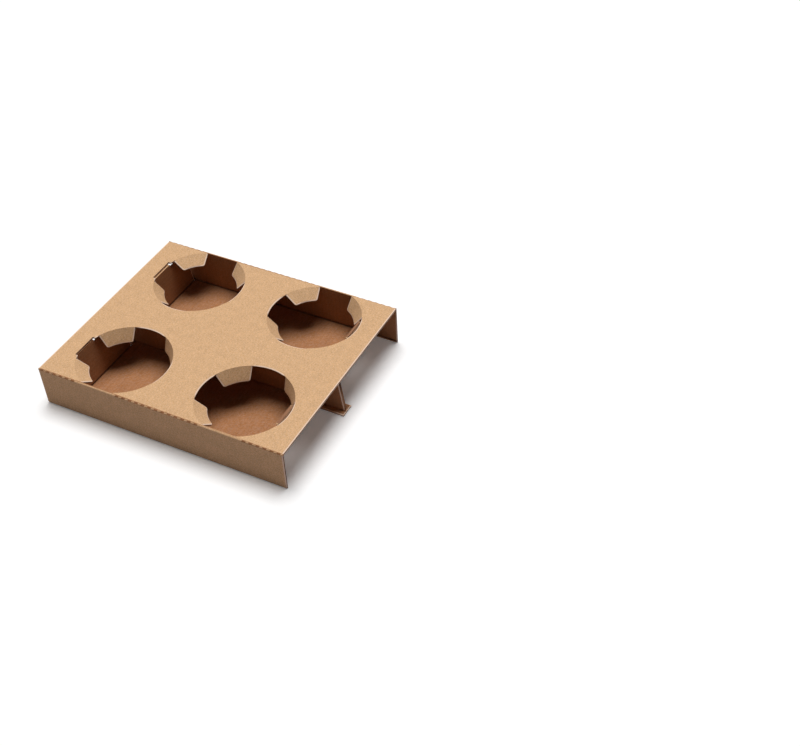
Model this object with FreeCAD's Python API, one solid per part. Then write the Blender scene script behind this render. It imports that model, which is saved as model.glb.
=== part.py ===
import FreeCAD, Part
import math
import os

# Four-cup carrier folded from one die-cut sheet of single-wall brown corrugated board.
# The sheet wraps round as a floor, a front wall, a top panel and a back wall. Its two ends
# turn up at mid-depth and are glued back to back, which makes the web between the two cells.
# X runs along the length, Y from front to back and Z up. The origin is the centre of the
# underside. All sizes are in millimetres and all angles in degrees.

# The board and the folded tube
board = 1.6
carrier_length = 208.0
carrier_depth = 170.0
carrier_height = 34.0
crease_inside = 0.3
crease_outside = 1.1
web_gap = 0.3

# The furrow that each crease of the floor leaves along its inside corner
furrow_width = 0.6
furrow_depth = 0.9

# The slits through the outer paper along the two top creases, which make them fold sharply
slit_length = 3.0
slit_pitch = 5.6
slit_depth = 0.7
slit_opening = 2.4
slit_margin = 1.4

# The cup holes, at the corners of a rectangle
hole_radius = 36.0
hole_spacing_x = 104.0
hole_spacing_y = 100.0

# The four gripping tabs of a hole, hinged on its rim at the diagonals and narrower at the tip
tab_length = 11.4
tab_root_angles = (-22.5, 22.5)
tab_tip_angles = (-19.0, 19.0)
tab_corner = 2.0
tab_bend = 0.6
tab_root = 2.4

# How far each tab is folded down from flat, as the cups have left them
tab_corner_angles = {"back_left": 135, "back_right": 45, "front_right": -45, "front_left": -135}
tab_fold_angles = {
    ("left", "front"): {"back_left": 53, "back_right": 69, "front_right": 62, "front_left": 34},
    ("right", "front"): {"back_left": 55, "back_right": 70, "front_right": 58, "front_left": 37},
    ("left", "back"): {"back_left": 22, "back_right": 46, "front_right": 60, "front_left": 48},
    ("right", "back"): {"back_left": 29, "back_right": 52, "front_right": 64, "front_left": 46},
}

# The end flaps, cut from the floor and turned up inside the ends of the tube. Each leans out
# by its own angle.
flap_inset = 20.5
flap_lean_angles = {
    ("left", "front"): 9.3, ("left", "back"): 7.6,
    ("right", "front"): 0.8, ("right", "back"): 1.4,
}
flap_play = 0.8
flap_taper = 2.0
flap_corner = 2.0
shoulder_gap = 1.0

# The lock on a flap's top edge. The right ones stand up inside the cup holes. The left ones
# have been pushed out past the notches of their holes and catch under the top panel.
lock_width = 20.8
lock_below_top = 0.8
lock_under_panel = 0.4
lock_clearance = 0.2
lock_corner = 1.0
notch_inset = 15.4
relief_width = 5.0
relief_depth = 1.6
relief_corner = 0.7

# The tongue of floor left at mid-depth between the two flaps of an end
tongue_width = 12.0
tongue_reach = 1.5
web_slant = 4.0

SIDES = {"left": -1, "right": 1}
ROWS = {"front": -1, "back": 1}
CLEAR = 1.0
SAME_PLACE = 1e-3

bend_outside = crease_inside + board
underside_of_top = carrier_height - board
wall_inside = carrier_depth / 2 - board
half_length = carrier_length / 2


def in_yz(x):
    return lambda u, v: FreeCAD.Vector(x, u, v)


def in_xz(y):
    return lambda u, v: FreeCAD.Vector(u, y, v)


def outline_face(points, radii, place):
    """Face inside a closed polygon whose corners are rounded, each by its own radius."""
    corners = []
    count = len(points)
    for i, (point, radius) in enumerate(zip(points, radii)):
        here = FreeCAD.Vector(point[0], point[1], 0)
        before = FreeCAD.Vector(*points[i - 1], 0)
        after = FreeCAD.Vector(*points[(i + 1) % count], 0)
        if radius == 0:
            corners.append((here, None, here))
            continue
        back = (before - here).normalize()
        on = (after - here).normalize()
        half = back.getAngle(on) / 2
        run = radius / math.tan(half)
        bisector = (back + on).normalize()
        middle = here + bisector * (radius / math.sin(half) - radius)
        corners.append((here + back * run, middle, here + on * run))
    edges = []
    for i, (start, middle, end) in enumerate(corners):
        if middle is not None:
            edges.append(Part.Arc(*[place(p.x, p.y) for p in (start, middle, end)]).toShape())
        following = corners[(i + 1) % count][0]
        if (following - end).Length > SAME_PLACE:
            edges.append(Part.makeLine(place(end.x, end.y), place(following.x, following.y)))
    return Part.Face(Part.Wire(edges))


def box_between(low, high):
    size = [b - a for a, b in zip(low, high)]
    return Part.makeBox(*size, FreeCAD.Vector(*low))


def furrow(corner, direction, place):
    """Cross-section of the furrow along an inside corner, cut straight into the fold."""
    into = FreeCAD.Vector(*direction, 0).normalize()
    aside = FreeCAD.Vector(-into.y, into.x, 0) * (furrow_width / 2)
    mouth = FreeCAD.Vector(*corner, 0) - into * crease_inside
    bottom = FreeCAD.Vector(*corner, 0) + into * furrow_depth
    points = [mouth - aside, bottom - aside, bottom + aside, mouth + aside]
    return outline_face([(p.x, p.y) for p in points], [0, 0, 0, 0], place)


def half_section(x):
    """Cross-section of the front half of the folded tube, up to the plane at mid-depth."""
    front = -carrier_depth / 2
    outer = outline_face(
        [(0, carrier_height), (front, carrier_height), (front, 0), (0, 0)],
        [0, crease_outside, crease_outside, crease_outside], in_yz(x))
    cell = outline_face(
        [(-board, underside_of_top), (-wall_inside, underside_of_top),
         (-wall_inside, board), (-board, board)],
        [0, crease_inside, crease_inside, crease_inside], in_yz(x))
    over_web = outline_face(
        [(-2 * board, underside_of_top), (-2 * board, underside_of_top - web_gap),
         (0, underside_of_top - web_gap), (0, underside_of_top)], [0, 0, 0, 0], in_yz(x))
    furrows = [furrow((-wall_inside, board), (-1, -1), in_yz(x)), furrow((-board, board), (1, -1), in_yz(x))]
    return outer.cut(cell.fuse([over_web] + furrows))


def tube_between(start, end):
    """The folded tube over a stretch of its length, both halves joined along the web."""
    front_half = half_section(start).extrude(FreeCAD.Vector(end - start, 0, 0))
    back_half = front_half.mirror(FreeCAD.Vector(0, 0, 0), FreeCAD.Vector(0, 1, 0))
    return front_half.fuse(back_half)


def flap_hinge(side):
    """Where the floor's flat part ends and the flap's bend begins."""
    return SIDES[side] * (half_length - flap_inset - crease_inside)


def flap_outside(side, row, height):
    """Where the flap's outer face stands along X at a given height."""
    lean = math.radians(flap_lean_angles[(side, row)])
    foot = bend_outside * math.cos(lean)
    rise = height - bend_outside + bend_outside * math.sin(lean)
    return flap_hinge(side) + SIDES[side] * (foot + rise * math.tan(lean))


def flap_strip(side, row):
    """The flap's board with its bend from the floor, over the whole width of its cell."""
    sign = SIDES[side]
    lean = math.radians(flap_lean_angles[(side, row)])
    centre = (flap_hinge(side), bend_outside)
    length = carrier_height

    def on_bend(radius, angle):
        return centre[0] + sign * radius * math.sin(angle), centre[1] - radius * math.cos(angle)

    turn = math.pi / 2 - lean
    y = ROWS[row] * tongue_width / 2
    place = in_xz(y)
    outer = [on_bend(bend_outside, turn * part) for part in (0, 0.5, 1)]
    inner = [on_bend(crease_inside, turn * part) for part in (1, 0.5, 0)]
    up = (sign * math.sin(lean) * length, math.cos(lean) * length)
    outer_top = (outer[2][0] + up[0], outer[2][1] + up[1])
    inner_top = (inner[0][0] + up[0], inner[0][1] + up[1])
    edges = [
        Part.Arc(*[place(*p) for p in outer]).toShape(),
        Part.makeLine(place(*outer[2]), place(*outer_top)),
        Part.makeLine(place(*outer_top), place(*inner_top)),
        Part.makeLine(place(*inner_top), place(*inner[0])),
        Part.Arc(*[place(*p) for p in inner]).toShape(),
        Part.makeLine(place(*inner[2]), place(*outer[0])),
    ]
    into = (sign * math.sin(turn / 2), -math.cos(turn / 2))
    strip = Part.Face(Part.Wire(edges)).cut(furrow(inner[1], into, place))
    reach = ROWS[row] * (wall_inside - tongue_width / 2)
    return strip.extrude(FreeCAD.Vector(0, reach, 0))


def lock_top(side):
    """How high a lock reaches: up into its hole, or just under the top panel."""
    if side == "right":
        return carrier_height - lock_below_top
    return underside_of_top - lock_under_panel


def end_flap(side, row):
    """One end flap, with its tapered sides, its two reliefs and the lock between them."""
    sign = ROWS[row]
    middle = hole_spacing_y / 2
    lock_half = lock_width / 2
    relief_half = lock_half + relief_width
    near_web = tongue_width / 2 + flap_play
    near_wall = wall_inside - flap_play
    shoulder = underside_of_top - shoulder_gap
    relief = shoulder - relief_depth
    lock = lock_top(side)
    points = [
        (near_web, -CLEAR), (near_web + flap_taper, shoulder),
        (middle - relief_half, shoulder), (middle - relief_half, relief),
        (middle - lock_half, relief), (middle - lock_half, lock),
        (middle + lock_half, lock), (middle + lock_half, relief),
        (middle + relief_half, relief), (middle + relief_half, shoulder),
        (near_wall - flap_taper, shoulder), (near_wall, -CLEAR),
    ]
    radii = [0, flap_corner, relief_corner, relief_corner, relief_corner, lock_corner,
             lock_corner, relief_corner, relief_corner, relief_corner, flap_corner, 0]
    hinge = flap_hinge(side)
    outline = outline_face([(sign * u, v) for u, v in points], radii, in_yz(hinge))
    prism = outline.extrude(FreeCAD.Vector(SIDES[side] * flap_inset, 0, 0))
    return flap_strip(side, row).common(prism)


def floor_recess(side, row):
    """The part of the floor that the flap was cut from, outside its hinge."""
    xs = sorted((flap_hinge(side), SIDES[side] * (half_length + CLEAR)))
    ys = sorted((ROWS[row] * tongue_width / 2, ROWS[row] * wall_inside))
    return box_between((xs[0], ys[0], -CLEAR), (xs[1], ys[1], bend_outside))


def tongue_tip(side):
    """The tongue's end, which stands out past the end of the tube."""
    start = SIDES[side] * half_length
    end = start + SIDES[side] * tongue_reach
    low, high = sorted((start, end))
    keep = box_between((low, -tongue_width / 2, 0), (high, tongue_width / 2, board))
    return tube_between(low, high).common(keep)


def web_end(side):
    """Wedge that slants the end of the web back towards the top panel."""
    end = SIDES[side] * half_length
    over = SIDES[side] * CLEAR
    points = [(end, board), (end + over, board), (end + over, underside_of_top),
              (end - SIDES[side] * web_slant, underside_of_top)]
    wedge = outline_face(points, [0, 0, 0, 0], in_xz(-2 * board))
    return wedge.extrude(FreeCAD.Vector(0, 4 * board, 0))


def hole_centre(side, row):
    return SIDES[side] * hole_spacing_x / 2, ROWS[row] * hole_spacing_y / 2


def within_walls(shape):
    """Keep what lies between the inner faces of the front and back walls."""
    low = (-carrier_length, -wall_inside, -CLEAR)
    high = (carrier_length, wall_inside, carrier_height + CLEAR)
    return shape.common(box_between(low, high))


def notch_end(side, row):
    """How far out a notch goes: past the panel's edge that holds the lock, or clear of the lock."""
    if side == "right":
        return flap_outside(side, row, carrier_height) + lock_clearance
    return SIDES[side] * (half_length - notch_inset)


def cup_hole(side, row):
    """The round hole, stopped by the crease of its wall, with the notch for the flap's lock."""
    x, y = hole_centre(side, row)
    bottom = underside_of_top - crease_inside
    depth = board + crease_inside + CLEAR
    disc = Part.makeCylinder(hole_radius, depth, FreeCAD.Vector(x, y, bottom))
    notch_half = lock_width / 2 + lock_clearance
    xs = sorted((x, notch_end(side, row)))
    notch = box_between((xs[0], y - notch_half, bottom), (xs[1], y + notch_half, bottom + depth))
    return within_walls(disc.fuse(notch))


def crease_slits(row):
    """Wedges of the slits along the crease between a wall and the top panel, clear of the holes."""
    wall_to_centre = wall_inside - hole_spacing_y / 2
    last = half_length - slit_margin - slit_length / 2
    count = math.floor(last / slit_pitch)
    apex = crease_outside * (1 - math.sqrt(0.5)) + slit_depth * math.sqrt(0.5)
    points = [(apex, apex), (-slit_opening / 2, slit_opening / 2), (slit_opening / 2, -slit_opening / 2)]
    wedges = []
    for i in range(-count, count + 1):
        x = i * slit_pitch
        end_to_centre = max(0, abs(abs(x) - hole_spacing_x / 2) - slit_length / 2)
        if math.hypot(end_to_centre, wall_to_centre) < hole_radius + slit_margin:
            continue
        outline = [(ROWS[row] * (carrier_depth / 2 - u), carrier_height - v) for u, v in points]
        wedge = outline_face(outline, [0, 0, 0], in_yz(x - slit_length / 2))
        wedges.append(wedge.extrude(FreeCAD.Vector(slit_length, 0, 0)))
    return wedges


def beside_tab(rim, tip, through, root_angle, tip_angle):
    """What lies past one side of a tab, cut straight from hinge to tip and square to the board."""
    to_root = FreeCAD.Rotation(FreeCAD.Vector(0, 0, 1), root_angle)
    to_tip = FreeCAD.Rotation(FreeCAD.Vector(0, 0, 1), tip_angle)
    hinge = to_root.multVec(FreeCAD.Vector(rim[0], 0, rim[1]))
    corner = to_tip.multVec(FreeCAD.Vector(tip[0], 0, tip[1]))
    square = to_tip.multVec(FreeCAD.Vector(through[0], 0, through[1]))
    along = (corner - hinge).normalize()
    spare = tab_length
    far = (corner - hinge).Length + spare
    points = [(-spare, -spare), (far, -spare), (far, spare), (-spare, spare)]
    side_cut = outline_face(points, [0, 0, 0, 0], lambda u, v: hinge + along * u + square * v)
    return side_cut.extrude(square.cross(along) * math.copysign(hole_radius, root_angle))


def grip_tab(side, row, corner):
    """One tab, bent down from the rim of its hole about the rim's own arc."""
    x, y = hole_centre(side, row)
    fold = math.radians(tab_fold_angles[(side, row)][corner])
    along = (-math.cos(fold), -math.sin(fold))
    through = (math.sin(fold), -math.cos(fold))
    rim = (hole_radius, carrier_height)
    tip = (rim[0] + along[0] * tab_length, rim[1] + along[1] * tab_length)
    tip_below = (tip[0] + through[0] * board, tip[1] + through[1] * board)
    crook = (hole_radius + board * math.tan(fold / 2), underside_of_top)
    root = hole_radius + tab_root
    section = outline_face(
        [(root, carrier_height), rim, tip, tip_below, crook, (root, underside_of_top)],
        [0, tab_bend, 0, 0, 0, 0], in_xz(0))
    up = FreeCAD.Vector(0, 0, 1)
    centre = FreeCAD.Vector(0, 0, 0)
    # The ring is wider than the tab, so that both side cuts pass right through it
    section.rotate(centre, up, 2 * tab_root_angles[0])
    ring = section.revolve(centre, up, 2 * (tab_root_angles[1] - tab_root_angles[0]))
    tab = ring.cut([beside_tab(rim, tip, through, *ends) for ends in zip(tab_root_angles, tab_tip_angles)])

    def at_tip(edge):
        ends = sorted((math.hypot(v.X, v.Y), v.Z) for v in edge.Vertexes)
        wanted = sorted((tip, tip_below))
        return len(ends) == 2 and all(math.dist(a, b) < SAME_PLACE for a, b in zip(ends, wanted))

    tab = tab.makeFillet(tab_corner, [edge for edge in tab.Edges if at_tip(edge)])
    tab.rotate(centre, up, tab_corner_angles[corner])
    tab.translate(FreeCAD.Vector(x, y, 0))
    return within_walls(tab)


def build_carrier():
    """The whole carrier, one folded sheet."""
    carrier = tube_between(-half_length, half_length)
    places = [(side, row) for side in SIDES for row in ROWS]
    cuts = [floor_recess(side, row) for side, row in places]
    cuts += [cup_hole(side, row) for side, row in places]
    cuts += [web_end(side) for side in SIDES]
    for row in ROWS:
        cuts += crease_slits(row)
    carrier = carrier.cut(cuts)
    pieces = [end_flap(side, row) for side, row in places]
    pieces += [tongue_tip(side) for side in SIDES]
    pieces += [grip_tab(side, row, corner) for side, row in places for corner in tab_corner_angles]
    return carrier.fuse(pieces).removeSplitter()


carrier = build_carrier()
if len(carrier.Solids) != 1 or not carrier.isValid():
    raise RuntimeError("the carrier is not one valid solid")
os.makedirs("parts", exist_ok=True)
carrier.Solids[0].exportStep("parts/folded_carrier.step")
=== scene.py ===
import math

import bmesh
import bpy
import numpy as np
from mathutils import Matrix, Vector
from mathutils.bvhtree import BVHTree


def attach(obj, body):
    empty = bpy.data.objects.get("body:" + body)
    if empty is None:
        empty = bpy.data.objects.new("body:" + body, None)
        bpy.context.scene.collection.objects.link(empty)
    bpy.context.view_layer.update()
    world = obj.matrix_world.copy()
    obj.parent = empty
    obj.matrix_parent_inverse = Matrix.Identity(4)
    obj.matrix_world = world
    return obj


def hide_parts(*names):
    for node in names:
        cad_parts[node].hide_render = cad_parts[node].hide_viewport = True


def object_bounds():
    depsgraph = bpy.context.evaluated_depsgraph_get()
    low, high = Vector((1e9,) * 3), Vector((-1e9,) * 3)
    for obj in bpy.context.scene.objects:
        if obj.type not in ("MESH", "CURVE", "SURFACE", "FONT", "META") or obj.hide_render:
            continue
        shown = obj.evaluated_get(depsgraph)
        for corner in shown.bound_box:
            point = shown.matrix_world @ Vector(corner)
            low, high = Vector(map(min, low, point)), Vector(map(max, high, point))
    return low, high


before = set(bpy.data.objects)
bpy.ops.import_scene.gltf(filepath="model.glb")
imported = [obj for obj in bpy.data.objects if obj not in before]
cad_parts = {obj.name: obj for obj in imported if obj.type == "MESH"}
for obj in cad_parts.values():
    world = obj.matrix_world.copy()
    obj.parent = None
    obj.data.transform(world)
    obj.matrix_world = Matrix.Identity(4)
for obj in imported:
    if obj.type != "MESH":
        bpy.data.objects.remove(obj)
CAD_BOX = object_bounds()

bl_info = {
    "name": "Folded cup carrier",
    "version": (1, 1, 0),
    "blender": (4, 5, 0),
    "location": "3D View > Sidebar > Carrier",
    "description": "Builds a folded corrugated cup carrier and the plain studio it stands in",
    "category": "Object",
}

# Sizes of the carrier in millimetres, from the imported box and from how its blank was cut
MM = 0.001
CARRIER_HEIGHT = (CAD_BOX[1].z - CAD_BOX[0].z) / MM
TONGUE_REACH = 1.5
HALF_LENGTH = (CAD_BOX[1].x - CAD_BOX[0].x) / MM / 2 - TONGUE_REACH
HALF_DEPTH = (CAD_BOX[1].y - CAD_BOX[0].y) / MM / 2
BOARD = 1.6
HOLE_RADIUS = 36.0
HOLE_CENTRES = [(x, y) for x in (-52.0, 52.0) for y in (-50.0, 50.0)]
UNDERSIDE_OF_TOP = CARRIER_HEIGHT - BOARD
WALL_INSIDE = HALF_DEPTH - BOARD

# How far the bent tabs hang below the top, and how far the flaps' folds are from the middle
TAB_DROP = 15.0
FLAP_FOLD = 83.6

# How far from its line a fold, a lock's notch or a crease slit still shows
FOLD_REACH = 1.8
LOCK_REACH = 6.0
CREASE_SLIT_REACH = 1.6

# How far the glued web and the seam under it reach to either side of the middle
WEB_HALF = 1.1 * BOARD
SEAM_HALF = 1.5 * BOARD

# Behind its skin the board is no thicker than this, and behind a cut edge it goes on. A patch of
# cut faces smaller than this many square millimetres is a misread bit of skin
SKIN_LIMIT = 1.6 * BOARD
LEAST_CUT = 14.0


def linear(text):
    """Linear red, green, blue and alpha of an sRGB hex colour such as #C8A078."""
    parts = [int(text[i:i + 2], 16) / 255 for i in (1, 3, 5)]
    return [p / 12.92 if p <= 0.04045 else ((p + 0.055) / 1.055) ** 2.4 for p in parts] + [1.0]


def add(tree, kind, inputs=None, **settings):
    """Add a node, give it its settings, and fill or link its input sockets."""
    made = tree.nodes.new(kind)
    for name, value in settings.items():
        setattr(made, name, value)
    for socket, value in (inputs or {}).items():
        if isinstance(value, bpy.types.NodeSocket):
            tree.links.new(value, made.inputs[socket])
        else:
            made.inputs[socket].default_value = value
    return made


def empty_material(name):
    """A material with only its output, its node tree, and that output."""
    material = bpy.data.materials.new(name)
    material.use_nodes = True
    material.node_tree.nodes.clear()
    return material, material.node_tree, add(material.node_tree, "ShaderNodeOutputMaterial")


class CarrierBoard(bpy.types.PropertyGroup):
    """Sizes and colours of the corrugated board."""

    flute_pitch: bpy.props.FloatProperty(
        name="Flute pitch", description="From one flute to the next, in millimetres",
        default=3.3, min=1.0, max=10.0)
    liner_thickness: bpy.props.FloatProperty(
        name="Liner thickness",
        description="Width of each torn liner on a cut edge, in millimetres",
        default=0.45, min=0.05, max=0.7)
    edge_crush: bpy.props.FloatProperty(
        name="Edge crush", description="How far the die pressed a cut corner in, in millimetres",
        default=0.8, min=0.0, max=1.0)
    groove_depth: bpy.props.FloatProperty(
        name="Groove depth",
        description="How far the flutes stand back between the liners, in millimetres",
        default=0.3, min=0.0, max=2.0)
    outer_colour: bpy.props.StringProperty(
        name="Outer liner", description="sRGB hex colour of the outer liner paper",
        default="#DAB085")
    inner_colour: bpy.props.StringProperty(
        name="Inner liner", description="sRGB hex colour of the inner liner paper",
        default="#AB7853")
    lip_colour: bpy.props.StringProperty(
        name="Cut lip", description="sRGB hex colour of the torn fibres on a cut liner",
        default="#FADBC2")
    flute_colour: bpy.props.StringProperty(
        name="Flutes", description="sRGB hex colour of the fluting paper between the liners",
        default="#A2765A")


class CarrierStage(bpy.types.PropertyGroup):
    """Lights and floor of the studio."""

    key_strength: bpy.props.FloatProperty(
        name="Key light",
        description="Light of the large soft lamp above, in watts per square metre",
        default=2.95)
    key_spread: bpy.props.FloatProperty(
        name="Key spread", description="How wide the soft lamp looks from the table",
        default=math.radians(38), subtype="ANGLE")
    sky_strength: bpy.props.FloatProperty(
        name="Sky", description="Strength of the even light from all round", default=0.04)
    floor_colour: bpy.props.StringProperty(
        name="Floor", description="sRGB hex colour of the floor as the camera sees it",
        default="#FFFFFF")
    floor_glow: bpy.props.FloatProperty(
        name="Floor glow", description="Light added to the floor as the camera sees it",
        default=0.09)
    floor_bounce: bpy.props.StringProperty(
        name="Floor bounce",
        description="sRGB hex colour of the floor in the light that it gives back",
        default="#CBC5CA")


# Long pulp fibres lie at all angles in the paper. The real ones are 0.05 mm thick, which no pixel
# of the picture shows, so they are drawn 0.5 mm thick. The turns are degrees from the direction
# across the flutes, and the other sizes are millimetres
FIBRE_LENGTH = 1.5
FIBRE_WIDTH = 0.5
FIBRE_TURNS = (12.0, 74.0, 131.0)
CLOUD_SIZE = 6.0
CLOUD_GAIN = 0.3
STREAK_LENGTH = 70.0

# A dark speck lies in each cell of this size, and it fades out between two shares of the cell
SPECK_CELL = 9.0
SPECK_FADE = (0.03, 0.07)
SPECK_SHADE = 0.84

# Painted shade along the inside folds: where its dark line fades out, how dark it is, and which
# directions lead away from a flap's fold and from a wall's fold
PAINTED_CREASE_SHADE_FADE = (0.4, 1.3)
PAINTED_CREASE_SHADE_LEVEL = 0.5
FLAP_CREASE_SHADE_AXES = (1.0, 0.0, 1.0)
WALL_CREASE_SHADE_AXES = (0.0, 1.0, 1.0)

# Heights of the paper's relief, and the torn tufts' length, in millimetres
FIBRE_RELIEF = 0.06
RIDGE_RELIEF = 0.02
TUFT_LENGTH = 0.5
TUFT_RELIEF = 0.1
PAPER_IOR = 1.45


def liner_material(name, colour, pitch, fibre_gain, ridge_gain, painted_crease_shades=()):
    """Kraft test liner: recycled paper, calendered smooth but matt. Pale and dark fibres give it
    a fine speckle, uneven pulp gives soft clouds, and the flutes glued under it show as faint
    ridges. Along the inside folds it is given, a dark line of painted shade is laid in."""
    material, tree, output = empty_material(name)
    sheet = add(tree, "ShaderNodeAttribute", attribute_name="sheet").outputs["Vector"]
    across = add(tree, "ShaderNodeSeparateXYZ", {0: sheet}).outputs["X"]
    turns = add(tree, "ShaderNodeMath", {0: across, 1: 2 * math.pi / pitch}, operation="MULTIPLY")
    wave = add(tree, "ShaderNodeMath", {0: turns.outputs[0]}, operation="COSINE").outputs[0]

    # Each layer's noise is 0.5 on average, so half of every gain comes off the start
    streak_gain = 2.0 * ridge_gain
    shade = 1.0 - 0.5 * (len(FIBRE_TURNS) * fibre_gain + CLOUD_GAIN + streak_gain)
    for turn in FIBRE_TURNS:
        turned = add(tree, "ShaderNodeVectorRotate", {
            "Vector": sheet, "Angle": math.radians(turn)}, rotation_type="Z_AXIS")
        drawn = add(tree, "ShaderNodeVectorMath", {
            0: turned.outputs[0], 1: (1 / FIBRE_LENGTH, 1 / FIBRE_WIDTH, 1.0)},
            operation="MULTIPLY")
        fibres = add(tree, "ShaderNodeTexNoise", {
            "Vector": drawn.outputs[0], "Scale": 1.0, "Detail": 1.0, "Roughness": 0.6})
        shade = add(tree, "ShaderNodeMath", {
            0: fibres.outputs["Fac"], 1: fibre_gain, 2: shade}, operation="MULTIPLY_ADD").outputs[0]
    fibre_shade = shade
    clouds = add(tree, "ShaderNodeTexNoise", {
        "Vector": sheet, "Scale": 1 / CLOUD_SIZE, "Detail": 3.0, "Roughness": 0.6})
    streak_place = add(tree, "ShaderNodeVectorMath", {
        0: sheet, 1: (1 / pitch, 1 / STREAK_LENGTH, 1.0)}, operation="MULTIPLY")
    streaks = add(tree, "ShaderNodeTexNoise", {
        "Vector": streak_place.outputs[0], "Scale": 1.0, "Detail": 1.0})
    for layer, gain in ((clouds.outputs["Fac"], CLOUD_GAIN),
                        (streaks.outputs["Fac"], streak_gain), (wave, 0.5 * ridge_gain)):
        shade = add(tree, "ShaderNodeMath", {
            0: layer, 1: gain, 2: shade}, operation="MULTIPLY_ADD").outputs[0]

    # A few dark specks of old print fibre, about 1 mm across
    specks = add(tree, "ShaderNodeTexVoronoi", {
        "Vector": sheet, "Scale": 1 / SPECK_CELL, "Randomness": 1.0})
    speck = add(tree, "ShaderNodeMapRange", {
        "Value": specks.outputs["Distance"], "From Min": SPECK_FADE[0], "From Max": SPECK_FADE[1],
        "To Min": SPECK_SHADE, "To Max": 1.0})
    shade = add(tree, "ShaderNodeMath", {
        0: shade, 1: speck.outputs["Result"]}, operation="MULTIPLY").outputs[0]

    # Painted shade: a dark line along each inside corner between the floor and the walls and flaps,
    # standing in for the shade in that crease
    place = add(tree, "ShaderNodeTexCoord").outputs["Object"]
    mirrored = add(tree, "ShaderNodeVectorMath", {0: place}, operation="ABSOLUTE").outputs[0]
    off = add(tree, "ShaderNodeVectorMath", {
        0: mirrored, 1: (FLAP_FOLD * MM, WALL_INSIDE * MM, BOARD * MM)},
        operation="SUBTRACT").outputs[0]
    for across_fold in painted_crease_shades:
        kept = add(tree, "ShaderNodeVectorMath", {0: off, 1: across_fold}, operation="MULTIPLY")
        away = add(tree, "ShaderNodeVectorMath", {0: kept.outputs[0]}, operation="LENGTH")
        line = add(tree, "ShaderNodeMapRange", {
            "Value": away.outputs["Value"], "From Min": PAINTED_CREASE_SHADE_FADE[0] * MM,
            "From Max": PAINTED_CREASE_SHADE_FADE[1] * MM, "To Min": PAINTED_CREASE_SHADE_LEVEL, "To Max": 1.0})
        shade = add(tree, "ShaderNodeMath", {
            0: shade, 1: line.outputs["Result"]}, operation="MULTIPLY").outputs[0]

    # Dark fibres are stronger in colour than pale ones
    depth = add(tree, "ShaderNodeMath", {
        0: fibres.outputs["Fac"], 1: -0.5, 2: 1.25}, operation="MULTIPLY_ADD").outputs[0]
    tint = add(tree, "ShaderNodeHueSaturation", {
        "Color": linear(colour), "Saturation": depth, "Value": shade})

    ridges = add(tree, "ShaderNodeMath", {
        0: wave, 1: RIDGE_RELIEF, 2: RIDGE_RELIEF}, operation="MULTIPLY_ADD")
    relief = add(tree, "ShaderNodeMath", {
        0: fibre_shade, 1: FIBRE_RELIEF, 2: ridges.outputs[0]}, operation="MULTIPLY_ADD")
    bump = add(tree, "ShaderNodeBump", {
        "Strength": 1.0, "Distance": MM, "Height": relief.outputs[0]})
    shader = add(tree, "ShaderNodeBsdfPrincipled", {
        "Base Color": tint.outputs["Color"], "Roughness": 0.85, "IOR": PAPER_IOR,
        "Specular IOR Level": 0.25, "Normal": bump.outputs["Normal"]})
    tree.links.new(shader.outputs[0], output.inputs["Surface"])
    return material


def cut_material(name, colour, gain):
    """Paper where the die went through it: torn, crushed fibres with no calendered skin, so dull
    and uneven."""
    material, tree, output = empty_material(name)
    place = add(tree, "ShaderNodeTexCoord").outputs["Object"]
    tufts = add(tree, "ShaderNodeTexNoise", {
        "Vector": place, "Scale": 1 / (TUFT_LENGTH * MM), "Detail": 2.0})
    shade = add(tree, "ShaderNodeMath", {
        0: tufts.outputs["Fac"], 1: gain, 2: 1.0 - 0.5 * gain}, operation="MULTIPLY_ADD")
    tint = add(tree, "ShaderNodeHueSaturation", {
        "Color": linear(colour), "Value": shade.outputs[0]})
    bump = add(tree, "ShaderNodeBump", {
        "Strength": 1.0, "Distance": TUFT_RELIEF * MM, "Height": tufts.outputs["Fac"]})
    shader = add(tree, "ShaderNodeBsdfPrincipled", {
        "Base Color": tint.outputs["Color"], "Roughness": 0.95, "IOR": PAPER_IOR,
        "Specular IOR Level": 0.1, "Normal": bump.outputs["Normal"]})
    tree.links.new(shader.outputs[0], output.inputs["Surface"])
    return material


# The material slots of the board
OUTER, INNER, LIP, FLUTE = 0, 1, 2, 3

# In millimetres: corners closer than this are one, and a ray starts this far inside a face
WELD_DISTANCE = 0.002
RAY_START = 0.01

# Shares of a face's normal along an axis, from the first sign of a tilt to nearly square on
TILTED = 0.25
LEANING = 0.3
HALF_WAY = 0.5
FACING = 0.7
UPWARD = 0.8
SQUARE_ON_WEB = 0.9
SQUARE_ON_WALL = 0.95


def welded(source):
    """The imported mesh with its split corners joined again."""
    bm = bmesh.new()
    bm.from_mesh(source.data)
    bmesh.ops.remove_doubles(bm, verts=bm.verts, dist=WELD_DISTANCE * MM)
    bm.normal_update()
    return bm


def thickness_below(tree, face):
    """How far the board goes on behind a face, in millimetres."""
    start = face.calc_center_median_weighted() - face.normal * RAY_START * MM
    hit, _, _, distance = tree.ray_cast(start, -face.normal)
    return math.inf if hit is None else distance / MM


def on_web(centre, normal):
    """Whether a face is a side of the glued web or the seam under it."""
    side = abs(normal.y) > SQUARE_ON_WEB and abs(centre.y) < WEB_HALF
    seam = normal.z < -LEANING and abs(centre.y) < SEAM_HALF
    return side or seam


def liner_of(centre, normal):
    """Which liner a face of the board's skin shows."""
    if centre.z < 0.5 * BOARD:
        return OUTER
    if centre.z < 2 * BOARD and normal.z > TILTED:
        return INNER
    if centre.z > UNDERSIDE_OF_TOP - TAB_DROP and abs(normal.z) > TILTED:
        return OUTER if normal.z > 0 else INNER
    if abs(normal.y) > abs(normal.x):
        return INNER if abs(centre.y) < WALL_INSIDE + 0.5 * BOARD else OUTER
    return INNER if normal.x * centre.x < 0 else OUTER


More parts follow.
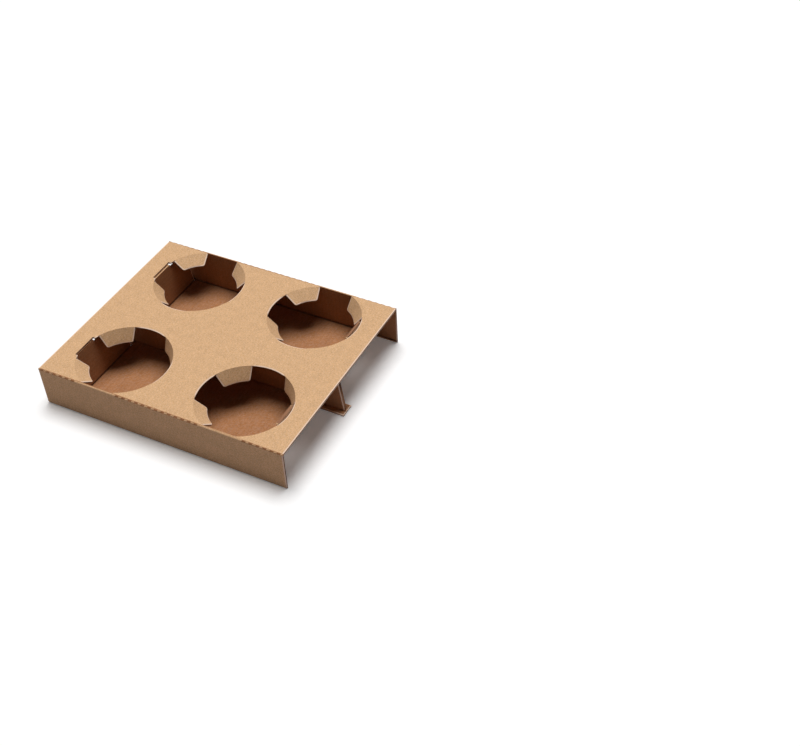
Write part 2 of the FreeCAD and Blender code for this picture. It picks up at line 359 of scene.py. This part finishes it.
def on_fold(centre, normal):
    """Whether a face lies on the bend of a tab or flap, where a ray through the board runs long."""
    from_holes = min(math.hypot(centre.x - x, centre.y - y) for x, y in HOLE_CENTRES)
    on_tab = (centre.z > UNDERSIDE_OF_TOP - BOARD and abs(from_holes - HOLE_RADIUS) < FOLD_REACH
              and abs(normal.z) > LEANING)
    on_flap = (centre.z < 2 * BOARD and abs(abs(centre.x) - FLAP_FOLD) < 2 * FOLD_REACH
               and abs(normal.y) < HALF_WAY)
    return on_tab or on_flap


def in_crease_slit(point):
    """Whether a point lies at one of the short slits that the die cut along the top creases."""
    at_crease = abs(point.y) > HALF_DEPTH - CREASE_SLIT_REACH
    return at_crease and point.z > CARRIER_HEIGHT - CREASE_SLIT_REACH


def patches(bm, slot):
    """The groups of touching faces that share a slot."""
    waiting = {face for face in bm.faces if face.material_index == slot}
    while waiting:
        patch = [waiting.pop()]
        for face in patch:
            around = {f for edge in face.edges for f in edge.link_faces} & waiting
            waiting -= around
            patch.extend(around)
        yield patch


def sort_faces(bm):
    """Give each face the slot of the surface that it shows."""
    tree = BVHTree.FromBMesh(bm)
    for face in bm.faces:
        centre = face.calc_center_median() / MM
        skin = (thickness_below(tree, face) < SKIN_LIMIT or on_web(centre, face.normal)
                or on_fold(centre, face.normal))
        if skin:
            face.material_index = liner_of(centre, face.normal)
        else:
            face.material_index = INNER if in_crease_slit(centre) else FLUTE
    for patch in patches(bm, FLUTE):
        if sum(face.calc_area() for face in patch) < LEAST_CUT * MM * MM:
            for face in patch:
                face.material_index = liner_of(face.calc_center_median() / MM, face.normal)


# How far outside a hole's rim the notch for a flap's lock begins, in millimetres
NOTCH_START = 0.3


def in_lock_notch(point):
    """Whether a point lies in the notch that the top of an end flap reaches into."""
    x, y = min(HOLE_CENTRES, key=lambda c: math.hypot(point.x - c[0], point.y - c[1]))
    past_rim = math.hypot(point.x - x, point.y - y) - HOLE_RADIUS
    in_top = point.z > CARRIER_HEIGHT - 2 * BOARD
    return in_top and NOTCH_START < past_rim < LOCK_REACH and abs(point.x) > abs(x)


# Width of the groove's sloping sides, in millimetres
GROOVE_SLOPE = 0.08

# A cut corner is pressed in only where its skin, its direction and its way along the skin are
# clear, told by the lengths of their added normals
LEAST_SKIN = 0.1
LEAST_MEAN = 0.7
LEAST_ALONG = 0.5


def open_the_edges(bm, liner, crush, depth):
    """Show how the board is built where the die cut it: two torn liners, and the fluting set
    back. The liners' corners are pressed in by the die, so they catch the light as a pale line.
    The flaps' top edges face up and take the fluting's darker colour instead of the pale lip: they
    were cut along a flute, and their darker tone is also painted shade, since the lamp above would
    light them pale."""
    cut = [face for face in bm.faces if face.material_index == FLUTE]
    lips = bmesh.ops.inset_region(bm, faces=cut, thickness=liner * MM, depth=0.0,
                                  use_boundary=True, use_even_offset=False)["faces"]
    for face in lips:
        # Lip strips that face up, on the flaps' top edges, get the darker fluting colour, partly as
        # painted shade
        face.material_index = FLUTE if face.normal.z > UPWARD else LIP
    bm.normal_update()
    pressed = set(lips)
    moves = {}
    for vert in {v for face in lips for v in face.verts}:
        skin = sum((face.normal for face in vert.link_faces
                    if face.material_index in (OUTER, INNER)), Vector())
        if skin.length < LEAST_SKIN or in_lock_notch(vert.co / MM):
            continue
        away = [face.normal for face in vert.link_faces if face in pressed]
        mean = sum(away, Vector()) / len(away)
        along = mean - mean.project(skin)
        if mean.length > LEAST_MEAN and along.length > LEAST_ALONG:
            moves[vert] = along / mean.length_squared * crush * MM
    for vert, move in moves.items():
        vert.co -= move
    bmesh.ops.inset_region(bm, faces=cut, thickness=GROOVE_SLOPE * MM, depth=-depth * MM,
                           use_boundary=True, use_even_offset=False)
    for vert in bm.verts:
        vert.co = [min(max(v, low), high) for v, low, high in zip(vert.co, *CAD_BOX)]


# The third number of a place on the sheet tells the board's faces apart, so that each has its
# own part of the paper's pattern. The tabs stop short of the top's ends by the margin
FLAP_LAYER = 20.0
TOP_LAYER = 60.0
WALL_LAYER = 80.0
END_MARGIN = 15.0


def sheet_place(point, face_centre, normal):
    """Where a point lies on the flat sheet: across the flutes, along them, and which face."""
    hole = min(HOLE_CENTRES, key=lambda c: math.hypot(face_centre.x - c[0], face_centre.y - c[1]))
    from_hole = math.hypot(face_centre.x - hole[0], face_centre.y - hole[1])
    in_hole = face_centre.z > 0.5 * CARRIER_HEIGHT and from_hole < HOLE_RADIUS
    if in_hole and abs(normal.y) < SQUARE_ON_WALL:
        radius = math.hypot(point.x - hole[0], point.y - hole[1])
        if radius < HOLE_RADIUS and abs(face_centre.x) < HALF_LENGTH - END_MARGIN:
            slope = math.hypot(HOLE_RADIUS - radius, CARRIER_HEIGHT - point.z)
            scale = (HOLE_RADIUS - slope) / max(radius, 1.0)
            along, across = (point.x - hole[0]) * scale, (point.y - hole[1]) * scale
            return hole[0] + along, hole[1] + across, 0.0
    if abs(normal.z) >= FACING:
        on_floor = point.z < BOARD * 2
        return point.x, point.y, point.z if on_floor else TOP_LAYER + CARRIER_HEIGHT - point.z
    if abs(normal.x) > FACING:
        return point.z, point.y, FLAP_LAYER * math.copysign(1.0, point.x)
    return point.x, math.copysign(HALF_DEPTH + CARRIER_HEIGHT - point.z, point.y), WALL_LAYER


def write_sheet(mesh):
    """Store each corner's place on the flat sheet, in millimetres, for the materials."""
    layer = mesh.attributes.new("sheet", "FLOAT_VECTOR", "CORNER")
    values = np.zeros((len(mesh.loops), 3), np.float32)
    for polygon in mesh.polygons:
        centre = polygon.center / MM
        for loop in polygon.loop_indices:
            point = mesh.vertices[mesh.loops[loop].vertex_index].co / MM
            values[loop] = sheet_place(point, centre, polygon.normal)
    layer.data.foreach_set("vector", values.ravel())


# Faces that meet flatter than the first are one, and edges sharper than the second stay sharp
FLAT_ANGLE = math.radians(0.5)
SHARP_ANGLE = math.radians(50)


class CARRIER_OT_board(bpy.types.Operator):
    """Build the folded board with its liners and cut edges"""

    bl_idname = "carrier.board"
    bl_label = "Folded board"

    def execute(self, context):
        board = context.scene.carrier_board
        bm = welded(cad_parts["folded_carrier"])
        sort_faces(bm)
        bmesh.ops.dissolve_limit(bm, angle_limit=FLAT_ANGLE, verts=bm.verts, edges=bm.edges,
                                 delimit={"MATERIAL"})
        open_the_edges(bm, board.liner_thickness, board.edge_crush, board.groove_depth)
        mesh = bpy.data.meshes.new("corrugated_carrier")
        bm.to_mesh(mesh)
        bm.free()
        pitch = board.flute_pitch
        for material in (
                liner_material("kraft_liner_outer", board.outer_colour, pitch, 0.5, 0.02),
                # The inner liner carries the painted shade along the inside folds
                liner_material("kraft_liner_inner", board.inner_colour, pitch, 0.3, 0.05,
                               painted_crease_shades=(FLAP_CREASE_SHADE_AXES, WALL_CREASE_SHADE_AXES)),
                cut_material("die_cut_liner_lip", board.lip_colour, 0.4),
                cut_material("torn_fluting_paper", board.flute_colour, 0.8)):
            mesh.materials.append(material)
        write_sheet(mesh)
        mesh.shade_smooth()
        mesh.set_sharp_from_angle(angle=SHARP_ANGLE)
        carrier = bpy.data.objects.new("corrugated_carrier", mesh)
        context.scene.collection.objects.link(carrier)
        weighted = carrier.modifiers.new("flat_areas_first", "WEIGHTED_NORMAL")
        weighted.keep_sharp = True
        weighted.weight = 100
        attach(carrier, "root")
        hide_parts("folded_carrier")
        return {"FINISHED"}


def eye_ray(tree):
    """1 where the eye looks at the surface, also in a mirror or through glass, and 0 elsewhere."""
    path = add(tree, "ShaderNodeLightPath")
    mirrored = add(tree, "ShaderNodeMath", {
        0: path.outputs["Is Glossy Ray"], 1: path.outputs["Is Transmission Ray"]},
        operation="MAXIMUM")
    eye = add(tree, "ShaderNodeMath", {
        0: path.outputs["Is Camera Ray"], 1: mirrored.outputs[0]}, operation="MAXIMUM")
    return eye.outputs[0]


def floor_material(seen, glow, bounced):
    """Matt painted studio table. The eye sees it near white, and it gives back less light."""
    material, tree, output = empty_material("white_studio_table")
    eye = eye_ray(tree)
    back = add(tree, "ShaderNodeBsdfDiffuse", {"Color": linear(bounced)})
    front = add(tree, "ShaderNodeBsdfDiffuse", {"Color": linear(seen)})
    light = add(tree, "ShaderNodeEmission", {"Color": linear(seen), "Strength": glow})
    lit = add(tree, "ShaderNodeAddShader", {0: front.outputs[0], 1: light.outputs[0]})
    mixed = add(tree, "ShaderNodeMixShader", {0: eye, 1: back.outputs[0], 2: lit.outputs[0]})
    tree.links.new(mixed.outputs[0], output.inputs["Surface"])
    return material


def studio_air(strength):
    """A world that is white to the eye and only a weak, even light on the object."""
    world = bpy.data.worlds.new("studio_air")
    world.use_nodes = True
    tree = world.node_tree
    tree.nodes.clear()
    output = add(tree, "ShaderNodeOutputWorld")
    eye = eye_ray(tree)
    dim = add(tree, "ShaderNodeBackground", {"Color": (1, 1, 1, 1), "Strength": strength})
    seen = add(tree, "ShaderNodeBackground", {"Color": (1, 1, 1, 1), "Strength": 1.0})
    mixed = add(tree, "ShaderNodeMixShader", {0: eye, 1: dim.outputs[0], 2: seen.outputs[0]})
    tree.links.new(mixed.outputs[0], output.inputs["Surface"])
    return world


# The camera in the carrier's own frame, and its lens, in millimetres and degrees
CAMERA_PLACE = (465.1, -572.8, 657.4)
CAMERA_TURN = 28.755
CAMERA_DOWN = 42.629
CAMERA_ROLL = -2.836
LENS = 57.745


def camera_matrix():
    """The camera's axes from its turn, its tilt below the horizon and its roll."""
    turn, down, roll = (math.radians(v) for v in (CAMERA_TURN, CAMERA_DOWN, CAMERA_ROLL))
    forward = Vector((-math.sin(turn) * math.cos(down), math.cos(turn) * math.cos(down),
                      -math.sin(down)))
    level = Vector((math.cos(turn), math.sin(turn), 0))
    above = level.cross(forward)
    right = level * math.cos(roll) + above * math.sin(roll)
    up = above * math.cos(roll) - level * math.sin(roll)
    matrix = Matrix((right, up, -forward)).transposed().to_4x4()
    matrix.translation = Vector(CAMERA_PLACE) * MM
    return matrix


# The key lamp hangs above the carrier, a little behind it and to the left
KEY_FROM = Vector((-0.09, 0.24, 1.0))

# Half the table's width, in metres
TABLE_HALF = 6.0


class CARRIER_OT_stage(bpy.types.Operator):
    """Set up the table, the lights and the camera"""

    bl_idname = "carrier.stage"
    bl_label = "Studio"

    def execute(self, context):
        stage = context.scene.carrier_stage
        scene = context.scene
        mesh = bpy.data.meshes.new("studio_table")
        corners = [(-TABLE_HALF, -TABLE_HALF, 0), (TABLE_HALF, -TABLE_HALF, 0),
                   (TABLE_HALF, TABLE_HALF, 0), (-TABLE_HALF, TABLE_HALF, 0)]
        mesh.from_pydata(corners, [], [(0, 1, 2, 3)])
        mesh.materials.append(
            floor_material(stage.floor_colour, stage.floor_glow, stage.floor_bounce))
        table = bpy.data.objects.new("studio_table", mesh)
        scene.collection.objects.link(table)

        lamp = bpy.data.lights.new("key_lamp", "SUN")
        lamp.energy = stage.key_strength
        lamp.angle = stage.key_spread
        key = bpy.data.objects.new("key_lamp", lamp)
        key.matrix_world = KEY_FROM.to_track_quat("Z", "Y").to_matrix().to_4x4()
        scene.collection.objects.link(key)
        scene.world = studio_air(stage.sky_strength)

        lens = bpy.data.cameras.new("photograph_camera")
        lens.lens = LENS
        lens.sensor_fit = "HORIZONTAL"
        camera = bpy.data.objects.new("photograph_camera", lens)
        camera.matrix_world = camera_matrix()
        scene.collection.objects.link(camera)
        scene.camera = camera
        scene.view_settings.view_transform = "Standard"
        return {"FINISHED"}


class CARRIER_PT_panel(bpy.types.Panel):
    """Lists the sizes, colours and steps of the carrier"""

    bl_label = "Folded cup carrier"
    bl_idname = "CARRIER_PT_panel"
    bl_space_type = "VIEW_3D"
    bl_region_type = "UI"
    bl_category = "Carrier"

    def draw(self, context):
        for group in (context.scene.carrier_board, context.scene.carrier_stage):
            box = self.layout.box()
            for name in group.__annotations__:
                box.prop(group, name)
        for step in OPERATORS:
            self.layout.operator(step.bl_idname)


OPERATORS = (CARRIER_OT_stage, CARRIER_OT_board)
GROUPS = (CarrierBoard, CarrierStage)


def register():
    for kind in (*GROUPS, *OPERATORS, CARRIER_PT_panel):
        bpy.utils.register_class(kind)
    bpy.types.Scene.carrier_board = bpy.props.PointerProperty(type=CarrierBoard)
    bpy.types.Scene.carrier_stage = bpy.props.PointerProperty(type=CarrierStage)


def unregister():
    del bpy.types.Scene.carrier_board
    del bpy.types.Scene.carrier_stage
    for kind in reversed((*GROUPS, *OPERATORS, CARRIER_PT_panel)):
        bpy.utils.unregister_class(kind)


def main():
    register()
    bpy.ops.carrier.stage()
    bpy.ops.carrier.board()


if __name__ == "__main__":
    main()
